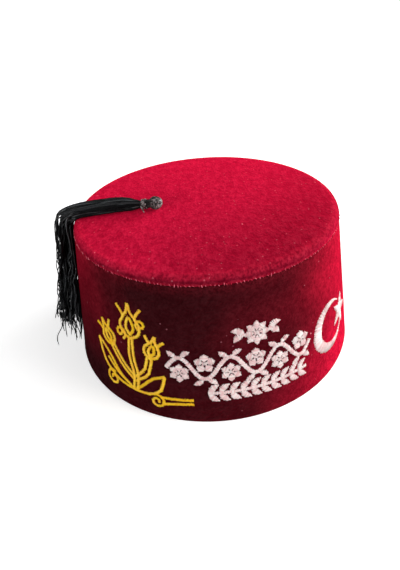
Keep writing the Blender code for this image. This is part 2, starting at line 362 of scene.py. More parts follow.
top_velvet = velvet(
    "top_velvet",
    dark=(0.13, 0.0022, 0.012),
    light=(0.355, 0.004, 0.029),
    sheen=1.0,
    lint_share=0.07,
    cloudy=0.8,
    painted_light=painted_light_back,
    pale_share=fold_highlight_seam_pale,
    grain_scale=(1, 0.6, 1),
)
# painted light on the band's right and upper left, and painted shade low on its left
band_velvet = velvet(
    "band_velvet",
    dark=(0.018, 0.0042, 0.0052),
    light=(0.50, 0.0062, 0.030),
    sheen=0.5,
    lint_share=0.012,
    cloudy=0.45,
    painted_light=painted_light_round,
    pale_share=paler_to_seam,
    painted_shade=painted_shade_low,
)
print("velvets:", top_velvet.name, band_velvet.name)

# %% [markdown]
# ## The cloth inside
# The inside of the band and of the top is the plain back of the stiffened cloth: fine level ribs in dull
# red, with no pile and no sheen. A wave texture is enough for them, because they are seldom seen.

# %% The backing finish


def backing(name, colour):
    """Ribbed cloth of one colour."""
    made = Finish(name)
    ribs = made.node("ShaderNodeTexWave", {"bands_direction": "Z"}, Vector=made.place, Scale=260.0)
    ribs = Value(made, ribs.outputs["Fac"])
    tone = 0.75 + ribs * 0.15 + made.noise(60.0, 3.0) * 0.3
    made.set(Base_Color=made.tint(colour, tone), Roughness=0.9, Specular_IOR_Level=0.2)
    made.bump(ribs, 0.15 * MM, 0.5)
    return made.material


inner_cloth = backing("inner_cloth", (0.10, 0.012, 0.016))
print("backing:", inner_cloth.name)

# %% [markdown]
# ## Modelling helpers
# Blender's operators act on what is selected, so each piece starts with nothing selected. A finished piece
# has its place in its mesh: its object sits at the origin, unturned and unscaled. A round piece is one
# ring that is extruded along a profile, as a turner follows a template.

# %% Modelling helpers
ROUND_STEPS = 288


def clear_selection():
    if bpy.context.mode != "OBJECT":
        bpy.ops.object.mode_set(mode="OBJECT")
    bpy.ops.object.select_all(action="DESELECT")


def newest(name):
    """The object that the last operator made, under its own name."""
    made = bpy.context.object
    made.name = name
    made.data.name = name
    return made


def settle(piece, *finishes):
    """Bakes the piece's place into its mesh and gives it its finishes."""
    clear_selection()
    piece.select_set(True)
    bpy.context.view_layer.objects.active = piece
    bpy.ops.object.transform_apply(location=True, rotation=True, scale=True)
    for finish in finishes:
        piece.data.materials.append(finish)
    bpy.ops.object.shade_smooth_by_angle(angle=math.radians(45))
    triangles = sum(len(p.vertices) - 2 for p in piece.data.polygons)
    print(f"{piece.name}: {triangles} triangles")


def arc(centre, radius, start_deg, end_deg, steps):
    """Points (radius, height) on an arc, both ends included."""
    turns = np.radians(np.linspace(start_deg, end_deg, steps + 1))
    return [(centre[0] + radius * math.cos(a), centre[1] + radius * math.sin(a)) for a in turns]


def turn_up(name, profile):
    """A round shell: one ring of points, extruded and resized to each next point of the profile."""
    clear_selection()
    radius, height = profile[0]
    bpy.ops.mesh.primitive_circle_add(vertices=ROUND_STEPS, radius=radius, location=(0, 0, height))
    piece = newest(name)
    bpy.ops.object.mode_set(mode="EDIT")
    bpy.ops.mesh.select_mode(type="EDGE")
    bpy.ops.mesh.select_all(action="SELECT")
    for (r0, z0), (r1, z1) in zip(profile, profile[1:]):
        bpy.ops.mesh.extrude_edges_move(TRANSFORM_OT_translate={"value": (0, 0, z1 - z0)})
        bpy.ops.transform.resize(value=(r1 / r0, r1 / r0, 1), center_override=(0, 0, z1))
    return piece


def close_up():
    """Joins what meets and turns every face outwards."""
    bpy.ops.mesh.select_all(action="SELECT")
    bpy.ops.mesh.remove_doubles(threshold=0.01 * MM)
    bpy.ops.mesh.normals_make_consistent(inside=False)
    bpy.ops.object.mode_set(mode="OBJECT")


# %% [markdown]
# ## The band
# A tailor cuts the band as a flat arc, joins its ends and rolls both edges. Turning a profile gives the
# same shape: the ring at the seam is extruded down the outside row by row, round the hem, up the inside,
# and back to where it began. The rows on the outside then take the slow waves of the formula above.

# %% The band
OUTSIDE_ROWS = 44
INSIDE_ROWS = 8
band_top = SEAM_HEIGHT - PILE_GAP / 2
outer_foot = RIM_RADIUS - HEM_ROLL
inner_foot = RIM_RADIUS - THICKNESS + HEM_ROLL
roll_start = band_top - SEAM_ROLL
wall_rows = [roll_start + (HEM_ROLL - roll_start) * i / OUTSIDE_ROWS for i in range(OUTSIDE_ROWS)]
inner_rows = [HEM_ROLL + (band_top - HEM_ROLL) * (i + 1) / INSIDE_ROWS for i in range(INSIDE_ROWS)]


def straight_radius(height):
    """Outside radius of the band without its waves."""
    return RIM_RADIUS + (TOP_RADIUS - RIM_RADIUS) * height / SEAM_HEIGHT


band_profile = [
    *arc((straight_radius(roll_start) - SEAM_ROLL, roll_start), SEAM_ROLL, 90, 5, 4),
    *[(straight_radius(z), z) for z in wall_rows],
    *arc((outer_foot, HEM_ROLL), HEM_ROLL, 0, -90, 4),
    *arc((inner_foot, HEM_ROLL), HEM_ROLL, 270, 180, 4),
    *[(straight_radius(z) - THICKNESS, z) for z in inner_rows],
    (straight_radius(roll_start) - SEAM_ROLL, band_top),
]
band = turn_up("velvet_band", band_profile)
close_up()
settle(band, band_velvet, inner_cloth)
for vertex in band.data.vertices:
    x, y, z = vertex.co
    bearing = math.atan2(y, x)
    out = math.hypot(x, y)
    if out > straight_radius(z) - THICKNESS / 2:
        push = band_radius(bearing, z) - straight_radius(z)
        vertex.co = (x * (1 + push / out), y * (1 + push / out), z)
for face in band.data.polygons:
    outward = face.center.x * face.normal.x + face.center.y * face.normal.y
    face.material_index = 1 if outward < -20 * MM and face.center.z > HEM_ROLL else 0
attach(band, "root")
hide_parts("side_band")

# %% [markdown]
# ## The top
# The top is one disc of velvet, stretched over the edge of the backing and turned down to the seam. The
# profile starts on its underside, comes down the inside of the turned edge, rolls round its foot, goes up
# over the shoulder and runs in to the middle in rings, rising a little on the way. The last ring and the
# first are then drawn together to a point, which closes the shell above and below.

# %% The top
FLAT_RINGS = 26


def top_height(radius):
    """Height of the top's velvet, which is a little domed."""
    return CROWN_HEIGHT + TOP_RISE * (1 - min(radius / FLAT_RADIUS, 1.0) ** 2)


foot = SEAM_HEIGHT + PILE_GAP / 2
inner_edge = TOP_RADIUS - THICKNESS
rings = [FLAT_RADIUS * (1 - (i + 1) / FLAT_RINGS) for i in range(FLAT_RINGS - 1)]
under = [(r, top_height(r) - THICKNESS) for r in (0.2 * inner_edge, 0.6 * inner_edge, inner_edge)]
top_profile = [
    *under,
    (inner_edge, foot),
    *arc((TOP_RADIUS - SEAM_ROLL, foot + SEAM_ROLL), SEAM_ROLL, -90, 0, 5),
    *arc((FLAT_RADIUS, CROWN_HEIGHT - SHOULDER_RADIUS), SHOULDER_RADIUS, 0, 90, 14),
    *[(r, top_height(r)) for r in rings],
]
crown = turn_up("velvet_top", top_profile)
bpy.ops.mesh.merge(type="CENTER")
bpy.ops.object.mode_set(mode="OBJECT")
middle = max(crown.data.vertices, key=lambda v: v.co.z - math.hypot(v.co.x, v.co.y))
middle.co.z = top_height(0) - crown.location.z  # the mesh still counts from where its ring was added
bpy.ops.object.mode_set(mode="EDIT")
bpy.ops.mesh.select_all(action="DESELECT")
bpy.ops.mesh.select_mode(type="EDGE")
bpy.ops.mesh.select_non_manifold()
bpy.ops.mesh.extrude_edges_move(TRANSFORM_OT_translate={"value": (0, 0, 0)})
bpy.ops.mesh.merge(type="CENTER")
close_up()
settle(crown, top_velvet, inner_cloth)
for face in crown.data.polygons:
    inside = math.hypot(face.center.x, face.center.y) < inner_edge + 0.1 * MM
    face.material_index = 1 if inside and face.center.z < CROWN_HEIGHT - THICKNESS / 2 else 0
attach(crown, "root")
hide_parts("crown_top")

# %% [markdown]
# ## One stitch
# Satin stitch is hundreds of short threads laid side by side across a shape, each coming up at one edge,
# arching over the cloth and going down at the other. One such thread is modelled: a small cylinder, laid
# along X and cut into rings. Each copy then bends to its own length and arch, and all copies of a colour
# are joined into one mesh, because a thousand objects would be slow and hard to handle.

# %% One stitch
STITCH_SIDES = 5
STITCH_CUTS = 5
clear_selection()
bpy.ops.mesh.primitive_cylinder_add(
    vertices=STITCH_SIDES, radius=1.0, depth=2.0, end_fill_type="NGON", rotation=(0, math.radians(90), 0)
)
pattern = newest("stitch_pattern")
bpy.ops.object.transform_apply(location=True, rotation=True, scale=True)
bpy.ops.object.mode_set(mode="EDIT")
for cut in range(1, STITCH_CUTS + 1):
    bpy.ops.mesh.select_all(action="SELECT")
    bpy.ops.mesh.bisect(plane_co=(-1 + 2 * cut / (STITCH_CUTS + 1), 0, 0), plane_no=(1, 0, 0))
bpy.ops.object.mode_set(mode="OBJECT")
stitch_points = np.array([v.co[:] for v in pattern.data.vertices])
stitch_faces = [list(p.vertices) for p in pattern.data.polygons]
bpy.data.objects.remove(pattern)
print("a stitch has", len(stitch_faces), "faces")

# %% [markdown]
# ## Sewing
# A stitch is said by its middle on the unrolled band, its direction, its length, how high it arches and how
# thick its thread is. Sewing bends a copy of the pattern to that, lays it on the band, and gives all its
# points one shade, so that the finish can make each thread a little lighter or darker.

# %% Sewing


def sew(name, stitches, finish):
    """One joined piece of stitches: rows of (along, up, angle, length, arch, thread radius, shade)."""
    rows = np.array(stitches)
    along, up, angle, length, arch, thread, shade = (column[:, None] for column in rows.T)
    t, side, lift = stitch_points.T
    bow = np.sqrt(np.clip(1 - t**2, 0, 1))
    taper = 0.55 + 0.45 * bow
    run = t * length / 2
    offset = side * thread * taper
    out = arch * bow + lift * thread * taper
    points = on_band(
        along + run * np.cos(angle) - offset * np.sin(angle),
        up + run * np.sin(angle) + offset * np.cos(angle),
        out,
    ).reshape(-1, 3)
    count = len(stitch_points)
    faces = [[i + k * count for i in face] for k in range(len(rows)) for face in stitch_faces]
    mesh = bpy.data.meshes.new(name)
    mesh.from_pydata(points.tolist(), [], faces)
    shades = mesh.attributes.new("shade", "FLOAT", "POINT")
    shades.data.foreach_set("value", np.repeat(shade[:, 0], count))
    piece = bpy.data.objects.new(name, mesh)
    bpy.context.scene.collection.objects.link(piece)
    settle(piece, finish)
    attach(piece, "root")
    return piece


# %% [markdown]
# ## Thread
# Embroidery thread has a soft lustre. Each stitch has its own shade between a dark and a light colour, and
# a fine noise stands for the fibres. The seam's thread is matt, because it lies half in the pile.

# %% The thread finishes


def thread(name, dark, light, roughness, sheen, gloss=0.5):
    """A thread between two colours, by its shade."""
    made = Finish(name)
    shade = made.attribute("shade")
    fibre = made.noise(2600.0, 2.0, 0.6)
    made.set(Base_Color=made.mix(shade * 0.8 + fibre * 0.4 - 0.1, dark, light), Roughness=roughness)
    made.set(Specular_IOR_Level=gloss, Sheen_Weight=sheen, Sheen_Roughness=0.4)
    made.bump(fibre, 0.08 * MM, 0.5)
    return made.material


gold_thread = thread("gold_thread", (0.97, 0.48, 0.003), (1.0, 0.72, 0.014), 0.55, 0.03)
white_thread = thread("white_thread", (0.84, 0.50, 0.50), (1.0, 0.95, 0.92), 0.6, 0.08)
seam_thread = thread("seam_thread", (0.42, 0.008, 0.030), (0.92, 0.20, 0.27), 0.8, 0.0, 0.0)

# %% [markdown]
# ## Strokes
# An embroiderer fills a shape by running stitches across it along a line, longer where the shape is wide.
# So every motif is a set of strokes: a smooth line through a few points, and the width along it. The line
# is walked in steps of one thread, and each step sews one stitch square to it.

# %% Strokes
PITCH = 0.5 * MM
STITCH_THREAD = 0.30 * MM  # radius
LONG_STITCH = 0.4 * MM  # how much longer every third stitch is, which gives the edges their teeth
draw = random.Random(7)


def smooth(points, step=0.2 * MM):
    """A smooth line through the points, at even steps."""
    pts = np.array([points[0], *points, points[-1]], float)
    line = []
    for a, b, c, d in zip(pts, pts[1:], pts[2:], pts[3:]):
        count = max(int(np.hypot(*(c - b)) / step), 2)
        t = np.linspace(0, 1, count, endpoint=False)[:, None]
        bend = (2 * a - 5 * b + 4 * c - d) * t**2 + (3 * b - a - 3 * c + d) * t**3
        line.append(0.5 * (2 * b + (c - a) * t + bend))
    return np.concatenate([*line, pts[-1:]])


def stroke(points, width, arch=0.45 * MM):
    """Stitches across a smooth line. width is a number, or a function of the share along the line."""
    line = smooth(points)
    steps = np.hypot(*np.diff(line, axis=0).T)
    length = np.concatenate([[0], np.cumsum(steps)])
    count = max(int(length[-1] / PITCH), 2)
    stitches = []
    for i in range(count + 1):
        at = length[-1] * i / count
        x = np.interp(at, length, line[:, 0])
        y = np.interp(at, length, line[:, 1])
        k = min(np.searchsorted(length, at), len(steps) - 1)
        dx, dy = line[k + 1] - line[k]
        wide = (width(i / count) if callable(width) else width) * draw.uniform(0.95, 1.05)
        wide += LONG_STITCH if i % 3 == 0 else 0
        angle = math.atan2(dy, dx) + math.pi / 2 + draw.uniform(-0.08, 0.08)
        shift = draw.gauss(0, 0.11) * MM
        x += shift * math.cos(angle)
        y += shift * math.sin(angle)
        rise = arch * min(1.0, 0.45 + wide / (5 * MM))
        stitches.append((x, y, angle, wide, rise, STITCH_THREAD * draw.uniform(0.9, 1.1), draw.random()))
    return stitches


def leaf_width(width):
    """The width along a leaf or petal: full in the middle, narrow at both ends."""
    return lambda t: width * math.sin(math.pi * min(max(t, 0.02), 0.98)) ** 0.75


def ray(x, y, angle_deg, start, end, bow=0.0):
    """Points of a line that leaves (x, y) at an angle, bowed to its left by a share of its length."""
    a = math.radians(angle_deg)
    ux, uy = math.cos(a), math.sin(a)
    middle = (start + end) / 2
    side = bow * (end - start)
    return [
        (x + ux * start, y + uy * start),
        (x + ux * middle - uy * side, y + uy * middle + ux * side),
        (x + ux * end, y + uy * end),
    ]


# %% [markdown]
# ## The white ornament
# Three rows of white ornament fill the middle of the front: a flower between two pairs of leaves, a vine
# that winds round six flowers, and a twig with leaves in pairs. The petals and leaves are padded satin
# stitch, three to five millimetres wide, and the vine and the twig are one narrow stroke each.

# %% The white ornament
DEGREE = UNROLL_RADIUS * math.radians(1)
WHITE_ARCH = 0.42 * MM


def leaf(x, y, angle_deg, length, width, bow):
    """A bowed leaf that grows from (x, y)."""
    return stroke(ray(x, y, angle_deg, 0, length, bow), leaf_width(width), arch=WHITE_ARCH)


def flower(x, y, radius, petals, turn_deg=90):
    """Petals round a small centre."""
    made = []
    width = 2 * math.pi * radius * 0.66 / petals
    for i in range(petals):
        spine = ray(x, y, turn_deg + 360 * i / petals, radius * 0.26, radius)
        made += stroke(spine, leaf_width(width), arch=WHITE_ARCH)
    return made + stroke(ray(x - radius * 0.17, y, 0, 0, radius * 0.34), radius * 0.34, arch=WHITE_ARCH)


white = []

# The upper row: a flower between two pairs of leaves
UPPER_X, UPPER_Y = 14.8 * DEGREE, 55.6 * MM
white += flower(UPPER_X, UPPER_Y, 7.2 * MM, 8)
for side in (-1, 1):
    for tilt, size in ((26, 7.6), (-30, 6.6)):
        angle = tilt if side > 0 else 180 - tilt
        white += leaf(UPPER_X + side * 7.0 * MM, UPPER_Y, angle, size * MM, 3.7 * MM, 0.16 * side)

# The middle row: a vine that winds round six flowers
MIDDLE_START, MIDDLE_END = -18.0 * DEGREE, 36.8 * DEGREE
MIDDLE_Y = 37.1 * MM
BAYS = 6
VINE_SWING = 6.6 * MM
FLOWER_DROP = 3.3 * MM


def vine_place(share):
    """A point of the vine, in the middle of the row's height at the start of each bay."""
    x = MIDDLE_START + (MIDDLE_END - MIDDLE_START) * share
    return x, MIDDLE_Y + VINE_SWING * math.sin(math.pi * BAYS * share)


white += stroke([vine_place(i / 48) for i in range(49)], 2.3 * MM, arch=WHITE_ARCH)
for i in range(BAYS):
    up = 1 if i % 2 == 0 else -1
    x, crest = vine_place((i + 0.5) / BAYS)
    white += flower(x, MIDDLE_Y - up * FLOWER_DROP, 5.7 * MM, 5 if i % 2 else 6, -90 * up)
    for side in (-1, 1):
        angle = up * (90 - side * 58)
        white += leaf(x + side * 1.2 * MM, crest + up * 0.6 * MM, angle, 5.8 * MM, 3.0 * MM, 0.1)

# The lower row: a straight twig with leaves in pairs
LOWER_START, LOWER_END = -3.6 * DEGREE, 34.2 * DEGREE
LOWER_Y = 20.8 * MM
LEAF_PAIRS = 10
for i in range(LEAF_PAIRS):
    x = LOWER_START + (LOWER_END - LOWER_START) * (i + 0.1) / LEAF_PAIRS
    for side in (-1, 1):
        white += leaf(x, LOWER_Y, side * 47, 7.2 * MM, 3.5 * MM, 0.14 * side)
twig = [(LOWER_START, LOWER_Y), ((LOWER_START + LOWER_END) / 2, LOWER_Y), (LOWER_END, LOWER_Y)]
white += stroke(twig, 1.9 * MM)
print("white stitches:", len(white))

# %% [markdown]
# ## The crescent and the star
# The crescent is a ring that is thick on one side and thins out towards its two points. The star has five
# arms, each a short stroke that narrows from the middle to its tip.

# %% The crescent and the star
CRESCENT_X, CRESCENT_Y = 50.4 * DEGREE, 33.0 * MM
OUTER_RADIUS = 16.4 * MM
INNER_RADIUS = 13.2 * MM
INNER_SHIFT = 3.8 * MM  # of the inner circle's middle, towards the opening
OPENING = math.radians(12)
HALF_OPENING = math.radians(33)
crescent, crescent_widths = [], []
shares = np.linspace(0, 1, 49)
for share in shares:
    from_opening = HALF_OPENING + (2 * math.pi - 2 * HALF_OPENING) * share
    turn = OPENING + from_opening
    inner = INNER_SHIFT * math.cos(from_opening)
    inner += math.sqrt(INNER_RADIUS**2 - (INNER_SHIFT * math.sin(from_opening)) ** 2)
    middle = (OUTER_RADIUS + inner) / 2
    crescent.append((CRESCENT_X + middle * math.cos(turn), CRESCENT_Y + middle * math.sin(turn)))
    crescent_widths.append(max(OUTER_RADIUS - inner, 0.6 * MM))
white += stroke(crescent, lambda t: float(np.interp(t, shares, crescent_widths)), arch=WHITE_ARCH)
STAR_X, STAR_Y, STAR_RADIUS = 60.3 * DEGREE, 35.0 * MM, 10.6 * MM
STAR_TURN_DEG = -3
ARM_WIDTH, ARM_TIP = 7.5 * MM, 0.3 * MM
for i in range(5):
    arm = ray(STAR_X, STAR_Y, STAR_TURN_DEG + 72 * i, 0.1 * MM, STAR_RADIUS)
    white += stroke(arm, lambda t: ARM_WIDTH + (ARM_TIP - ARM_WIDTH) * t, arch=WHITE_ARCH)
white_piece = sew("white_embroidery", white, white_thread)

# %% [markdown]
# ## The gold spray
# On the left is a spray of three tulips with long leaves and curling tendrils. It is drawn in gold
# outlines a little under two millimetres wide, and many of the lines run in pairs.

# %% The gold spray
GOLD_X, GOLD_Y = -31.5 * DEGREE, 13.6 * MM
GOLD_WIDTH = 1.7 * MM
gold = []


def gold_line(points, width=GOLD_WIDTH):
    """Stitches along a line whose points are in mm from the foot of the spray."""
    placed = [(GOLD_X + x * MM, GOLD_Y + y * MM) for x, y in points]
    return stroke(placed, width, arch=0.35 * MM)


def turned(points, x, y, angle_deg, size):
    """Points of a motif, sized, turned and moved to (x, y)."""
    a = math.radians(angle_deg)
    return [
        (x + size * (px * math.cos(a) - py * math.sin(a)), y + size * (px * math.sin(a) + py * math.cos(a)))
        for px, py in points
    ]


TULIP = (
    [(0.0, 0.0), (-0.42, 0.26), (-0.52, 0.70), (-0.32, 1.08), (-0.66, 1.55)],
    [(0.0, 0.0), (0.42, 0.26), (0.52, 0.70), (0.32, 1.08), (0.66, 1.55)],
    [(-0.32, 1.08), (-0.12, 1.30), (0.0, 1.72)],
    [(0.32, 1.08), (0.12, 1.30), (0.0, 1.72)],
    [(0.0, 0.18), (-0.20, 0.55), (0.0, 1.05), (0.20, 0.55), (0.0, 0.18)],
)


def tulip(x, y, angle_deg, size):
    """A tulip in outline, leaning by an angle to the left."""
    return [s for line in TULIP for s in gold_line(turned(line, x, y, angle_deg, size))]


def curl(x, y, start_deg, turns, size, side):
    """A tendril that winds in on itself."""
    points = []
    for i in range(22):
        t = i / 21
        a = math.radians(start_deg) + side * turns * 2 * math.pi * t
        r = size * (1 - 0.80 * t)
        points.append((x + r * math.cos(a), y + r * math.sin(a)))
    return gold_line(points, 1.5 * MM)


STEMS = (
    [(-1.2, 1), (0.0, 12), (-2.2, 24), (-1.6, 36)],
    [(1.4, 1), (2.8, 12), (0.6, 24), (0.4, 36)],
    [(0, 8), (-8, 15), (-15.5, 25)],
    [(0, 11), (-7, 18), (-13.5, 27)],
    [(1, 11), (7, 18), (9.5, 27)],
    [(1, 8), (9, 15), (12.0, 26)],
)
LEAVES = (
    [(0, 1), (-12, 3), (-23, 11), (-28, 25)],
    [(-28, 25), (-19, 19), (-10, 8), (0, 1)],
    [(-3, 3), (-12, 8), (-20, 15)],
    [(0, 1), (9, 1.5), (16, 6), (19, 16)],
    [(19, 16), (12, 13), (6, 7), (0, 1)],
)
for line in (*STEMS, *LEAVES):
    gold += gold_line(line)
gold += tulip(-0.6, 36, 2, 12.5)
gold += tulip(-15, 26, 30, 9.5)
gold += tulip(11, 26.5, -14, 8.6)
gold += curl(-16.5, 1.5, 70, 1.35, 5.6, 1)
gold += curl(13.5, -2.2, 100, 1.35, 4.8, -1)
gold += curl(-7.5, 38, -60, 1.2, 4.0, 1)
gold += curl(6.5, 46, -120, 1.2, 3.4, -1)
gold += gold_line([(18, -3.0), (26, -1.5), (34, -0.8)])
gold += gold_line([(16, 1.2), (25, 1.6), (34, 2.0)])
gold_piece = sew("gold_embroidery", gold, gold_thread)

# %% [markdown]
# ## The seam's stitches
# The top is sewn to the band with small slanted stitches that cross the seam, about two millimetres apart.
# They are half buried in the pile, and some are rubbed pale.

# %% The seam's stitches
SEAM_STITCHES = 250
SEAM_THREAD = 0.25 * MM  # radius
seam = []
for i in range(SEAM_STITCHES):
    along = 2 * math.pi * UNROLL_RADIUS * (i + draw.uniform(-0.3, 0.3)) / SEAM_STITCHES
    up = SEAM_HEIGHT + draw.uniform(0.1, 0.7) * MM
    lean = math.radians(115) + draw.uniform(-0.6, 0.6)
    length, arch = draw.uniform(0.8, 1.8) * MM, draw.uniform(0.05, 0.26) * MM
    seam.append((along, up, lean, length, arch, SEAM_THREAD, draw.random() ** 1.5))
seam_piece = sew("seam_stitches", seam, seam_thread)

# %% [markdown]
# ## Where the tassel lies
# The tassel is sewn down at its head, runs out over the top, bends over the shoulder and hangs in front of
# the band. Its threads share one table of sections, the same one that the solid tassel was made from: how
# far the bundle drifts aside, how wide it is and how thick, at some places on the way.

# %% Sizes of the tassel
THREAD_GAP = 0.3 * MM
BEARING = math.radians(184.5)
HEAD_DISTANCE = 30.2 * MM
HEAD_SWAY = 3.0 * MM
HEAD_RADIUS = 3.9 * MM
HEAD_LENGTH = 9.6 * MM
NECK_RADIUS = 2.1 * MM
NECK_LENGTH = 5.0 * MM
BINDING_THREAD = 0.8 * MM
SKIRT_WIDTH = 16.0 * MM
SKIRT_DEPTH = 15.5 * MM
FLOOR_CLEARANCE = 4.5 * MM
RUN_START = HEAD_DISTANCE + HEAD_LENGTH / 2 + NECK_LENGTH

# The place is 0 to 1 along the run, 1 to 2 round the bend and 2 to 3 down the drop. drift and width are
# shares of SKIRT_WIDTH, and depth is a share of SKIRT_DEPTH.
SECTIONS = (  # place, drift, width, depth
    (0.00, -0.06, 0.38, 0.40),
    (0.30, 0.10, 0.80, 0.45),
    (0.80, 0.12, 0.94, 0.42),
    (1.25, 0.01, 0.98, 0.46),
    (1.90, -0.07, 0.92, 0.66),
    (2.30, -0.05, 0.88, 0.76),
    (2.70, -0.08, 0.96, 0.92),
    (3.00, -0.10, 1.04, 1.10),
)


def section_at(place):
    """Drift, width and depth of the bundle at a place, in metres."""
    rows = np.array(SECTIONS)
    after = min(int(np.searchsorted(rows[:, 0], place)), len(rows) - 1)
    before = max(after - 1, 0)
    span = rows[after, 0] - rows[before, 0]
    t = min(max((place - rows[before, 0]) / span, 0.0), 1.0) if span else 0.0
    _, drift, width, depth = rows[before] + (rows[after] - rows[before]) * t * t * (3 - 2 * t)
    return drift * SKIRT_WIDTH, width * SKIRT_WIDTH, depth * SKIRT_DEPTH


def crown_under(place, reach):
    """The crown's surface (radius, height) below a place of the bundle, and the direction out of it."""
    if place <= 1:
        r = RUN_START + (FLAT_RADIUS - RUN_START) * place
        return np.array((r, top_height(r))), np.array((0.0, 1.0))
    turn = math.pi / 2 + (SLOPE - math.pi / 2) * min(place - 1, 1.0)
    out = np.array((math.cos(turn), math.sin(turn)))
    foot = np.array((FLAT_RADIUS, CROWN_HEIGHT - SHOULDER_RADIUS)) + out * SHOULDER_RADIUS
    fall = max(place - 2, 0.0) * (foot[1] - FLOOR_CLEARANCE) * reach
    return foot + np.array((math.tan(SLOPE), -1.0)) * fall, out


def hang(radius, height, aside):
    """A point of the hat for a place in the tassel's upright plane, moved aside (positive to the back)."""
    c, s = math.cos(BEARING), math.sin(BEARING)
    return np.array((c * radius + s * aside, s * radius - c * aside, height))


first_drift = section_at(0.0)[0]
head_middle = hang(HEAD_DISTANCE, top_height(HEAD_DISTANCE) + THREAD_GAP + HEAD_RADIUS, -HEAD_SWAY)
neck_end = hang(RUN_START, top_height(RUN_START) + THREAD_GAP + NECK_RADIUS + BINDING_THREAD, first_drift)
neck_reach = np.linalg.norm(neck_end - head_middle)
neck_line = (neck_end - head_middle) / neck_reach
print("head at", head_middle.round(4), "neck ends at", neck_end.round(4))

# %% [markdown]
# ## Threads from curves
# A loose thread is easiest to draw as a curve: a line of points with a round bevel. All the threads of a
# piece are splines of one curve, and it is turned into a mesh at the end, whose open ends are then filled.
# The splines all have the same number of points, so the mesh's points come in equal rings along each
# thread, and every ring can get its own shade.

# %% Threads from curves


def wind(name, paths, radius, shades, finish, end_radius=1.0):
    """One mesh of round threads through the paths, which all have the same number of points. shades has a
    number for each point of each path, and end_radius is a share of the radius."""
    clear_selection()
    curve = bpy.data.curves.new(name, "CURVE")
    curve.dimensions = "3D"
    curve.bevel_depth = radius
    curve.bevel_resolution = 1
    for path in paths:
        spline = curve.splines.new("POLY")
        spline.points.add(len(path) - 1)
        spline.points.foreach_set("co", np.c_[path, np.ones(len(path))].ravel())
        spline.points[len(path) - 1].radius = end_radius
    piece = bpy.data.objects.new(name, curve)
    bpy.context.scene.collection.objects.link(piece)
    piece.select_set(True)
    bpy.context.view_layer.objects.active = piece
    bpy.ops.object.convert(target="MESH")
    piece = bpy.context.object
    bpy.ops.object.mode_set(mode="EDIT")
    bpy.ops.mesh.select_all(action="SELECT")
    bpy.ops.mesh.fill_holes(sides=8)
    bpy.ops.object.mode_set(mode="OBJECT")
    ring = len(piece.data.vertices) // np.size(shades)
    values = piece.data.attributes.new("shade", "FLOAT", "POINT")
    values.data.foreach_set("value", np.repeat(np.ravel(shades), ring))
    settle(piece, finish)
    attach(piece, "root")
    return piece


# %% [markdown]
# ## Black thread
# The tassel is of black rayon, which is smooth: dark where it is seen straight on, with a grey shine along
# each thread. The threads differ a little, so the bundle doesn't melt into one dark shape, and the few
# lightest ones are painted glints.

# %% The black thread


def rayon(name, dark, light, roughness):
    """A smooth dark thread between two colours, by its shade."""
    made = Finish(name)
    shade = made.attribute("shade")
    twist = made.noise(1900.0, 2.0, 0.6)
    made.set(Base_Color=made.mix(shade + twist * 0.4 - 0.2, dark, light), Roughness=roughness)
    made.set(Specular_IOR_Level=0.14)
    made.bump(twist, 0.1 * MM, 0.6)
    return made.material


tassel_thread = rayon("tassel_thread", (0.0012, 0.0016, 0.002), (0.095, 0.102, 0.108), 0.42)
binding_thread = rayon("binding_thread", (0.002, 0.002, 0.002), (0.30, 0.28, 0.275), 0.5)

# %% [markdown]
# ## The tassel's skirt
# About a hundred and fifty threads fill the sections. Over the top each keeps its own place in the bundle,
# close to its neighbours. From the bend on they gather in locks, as loose threads do, with gaps between the
# locks that the light shows through, and they crinkle more and more towards their ragged ends. A few stand
# off on the outside of the bend, and a few stray away from the bundle low down.

# %% The tassel's skirt
SKIRT_THREADS = 156
LOCKS = 14
STRAYS = 26
FLYAWAYS = 16
THREAD_RADIUS = 0.31 * MM
GATHERED = 0.88  # how far a thread has moved to the middle of its lock, half way down
SHORT_SHARE = 0.15  # of the threads, broken off higher up
legs = ((0.04, 1, 9), (1.12, 1.95, 8), (2.03, 3, 36))  # from, to and points of the run, bend and drop
fall_places = np.concatenate([np.linspace(*leg) for leg in legs])
drops = np.clip(fall_places - 2, 0, 1)
gather = GATHERED * np.clip((fall_places - 1.2) / 1.0, 0, 1) * (1 - 0.45 * drops**4)
crimp = np.random.default_rng(11)


def slow(size, period):
    """A smooth random wave along the places."""
    phases = crimp.uniform(0, 2 * math.pi, 3)
    waves = [np.sin(fall_places * 2 * math.pi / period * k + phases[k - 1]) / k for k in (1, 2, 3)]
    return size * sum(waves) / 1.5


def oval_place(turn, spread):
    """A place in the bundle's section: -1 to 1 across it, and 0 to 1 from the crown outwards."""
    c, s = np.cos(turn), np.sin(turn)
    return np.sign(c) * abs(c) ** 0.7 * spread, 0.42 + 0.54 * np.sign(s) * abs(s) ** 0.7 * spread


def lock(i):
    """One lock's way down the bundle: its places, its waves, and how far it strays at the end."""
    across, lift = oval_place(i * 2.4 + 0.35 * fall_places + slow(0.35, 1.6), math.sqrt((i + 0.5) / LOCKS))
    return {
        "across": across,
        "lift": lift,
        "aside": slow(1.7 * MM, 0.62) * drops**0.5,
        "out": slow(1.6 * MM, 0.55) * drops**0.5,
        "lean": crimp.normal(0, 0.06) * SKIRT_WIDTH,
        "kick": crimp.normal(0, 0.05) * SKIRT_DEPTH,
        "reach": crimp.uniform(0.86, 0.95),
    }


